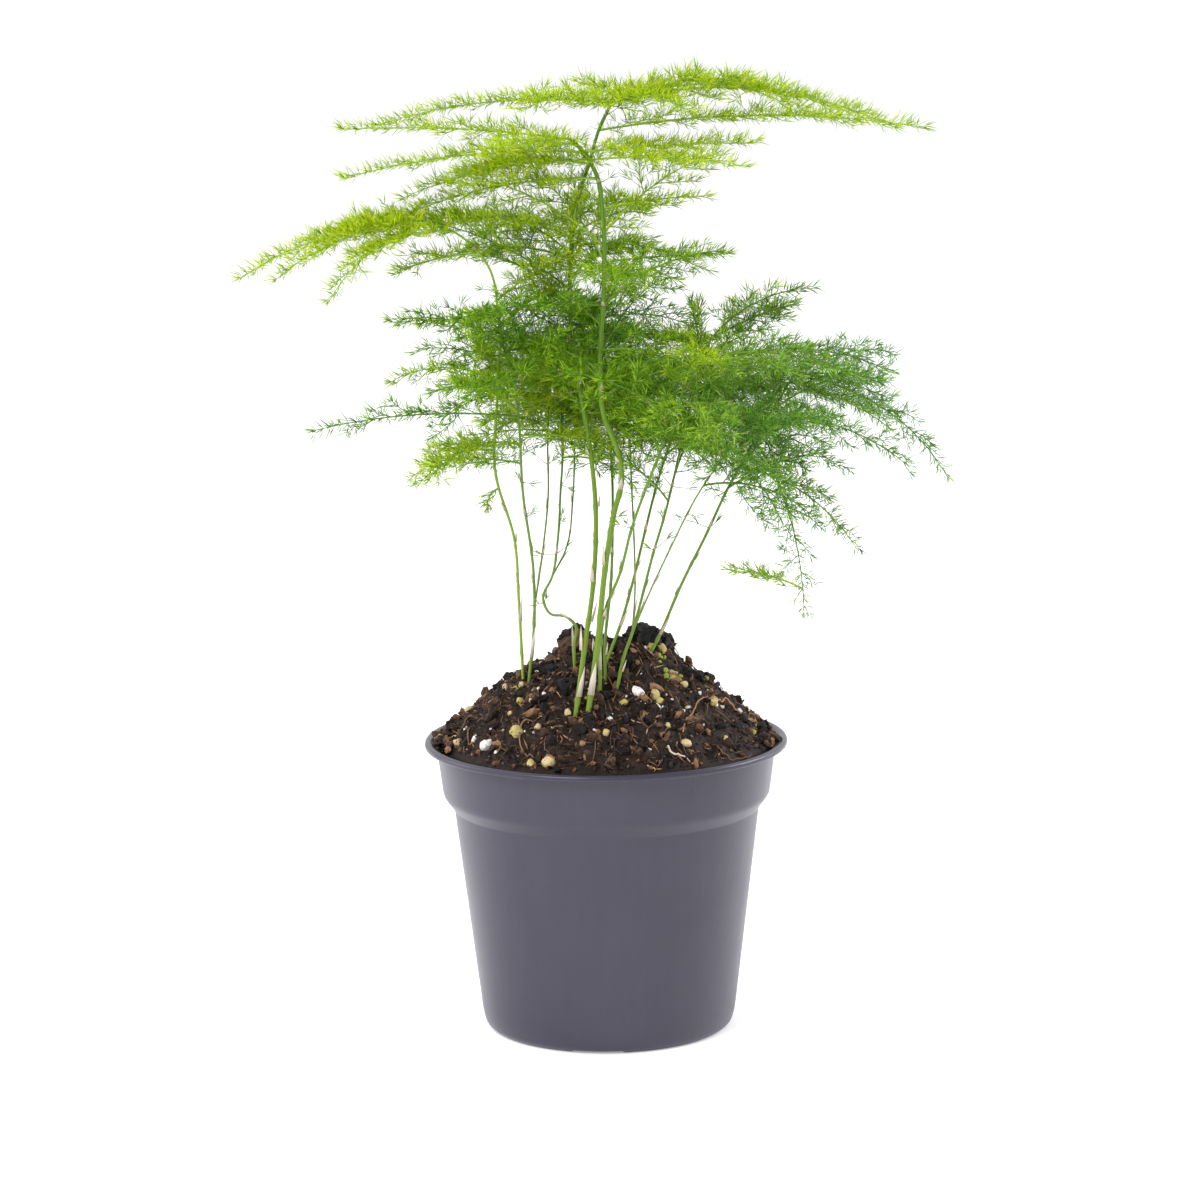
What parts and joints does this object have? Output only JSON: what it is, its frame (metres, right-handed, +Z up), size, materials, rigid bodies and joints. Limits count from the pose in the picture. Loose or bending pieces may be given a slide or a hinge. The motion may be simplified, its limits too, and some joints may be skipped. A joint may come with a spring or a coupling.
{
  "type": "potted asparagus fern",
  "caption": "Asparagus fern with thin wiry stems and flat, feathery fronds of fine needles, growing from a heaped mound of peat soil in a tapered grey plastic nursery pot.",
  "frame": {"origin": "on the ground under the middle of the pot's base", "axes": "+Z up, the way the stems grow; +Y away from the viewer of the picture; +X to the viewer's right"},
  "size_m": [0.2352, 0.1755, 0.3167],
  "materials": {
    "pot_plastic": "satin",
    "peat_soil": "matte",
    "fern_young": "satin",
    "fern_mature": "satin"
  },
  "bodies": {
    "root": {"pot": "pot_plastic", "soil": "peat_soil", "leafy_stem_far_left": "fern_young", "leafy_stem_left": "fern_mature", "leafy_stem_kinked": "fern_mature", "leafy_stem_tallest": "fern_young", "leafy_stem_thickest": "fern_young", "leafy_stem_rear": "fern_mature", "leafy_stem_right_rear": "fern_mature", "leafy_stem_right_front": "fern_mature", "leafy_stem_forked": "fern_mature", "leafy_stem_far_right": "fern_mature"}
  },
  "joints": []
}
